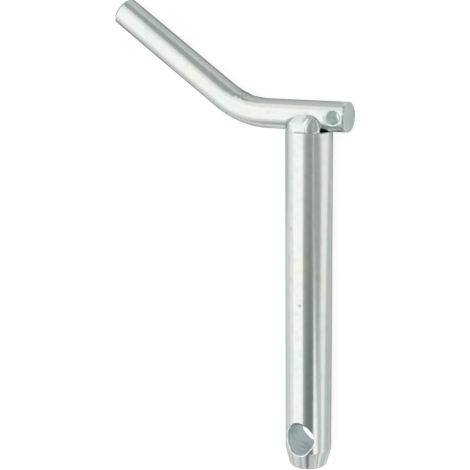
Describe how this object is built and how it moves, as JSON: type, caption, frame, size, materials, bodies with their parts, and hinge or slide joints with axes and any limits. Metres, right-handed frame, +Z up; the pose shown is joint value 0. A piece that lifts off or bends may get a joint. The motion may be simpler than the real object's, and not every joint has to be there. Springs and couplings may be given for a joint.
{
  "type": "top link pin",
  "caption": "Round steel pin with a tapered tip, a cross hole for a linch pin and a bent round-bar handle welded across its head, for joining a tractor's top link to an implement.",
  "frame": {"origin": "centre of the shank's flat head face, where the handle crosses it, on the shank's axis", "axes": "-Y along the shank towards its tapered tip, +Z up with the pin lying on the side of its shank and the end of its handle; +X towards the handle's short stub"},
  "size_m": [0.1068, 0.1908, 0.019],
  "materials": {
    "shank_zinc": "bright zinc plate over a turned bar, soft gloss, faint bluish and pinkish cast",
    "handle_zinc": "bright zinc plate over a drawn bar, soft gloss, faint lines along the bar",
    "weld_zinc": "zinc plate over a rippled weld bead, softer gloss"
  },
  "bodies": {
    "root": {"shank": "shank_zinc", "handle": "handle_zinc", "weld_front": "weld_zinc", "weld_rear": "weld_zinc"}
  },
  "joints": []
}
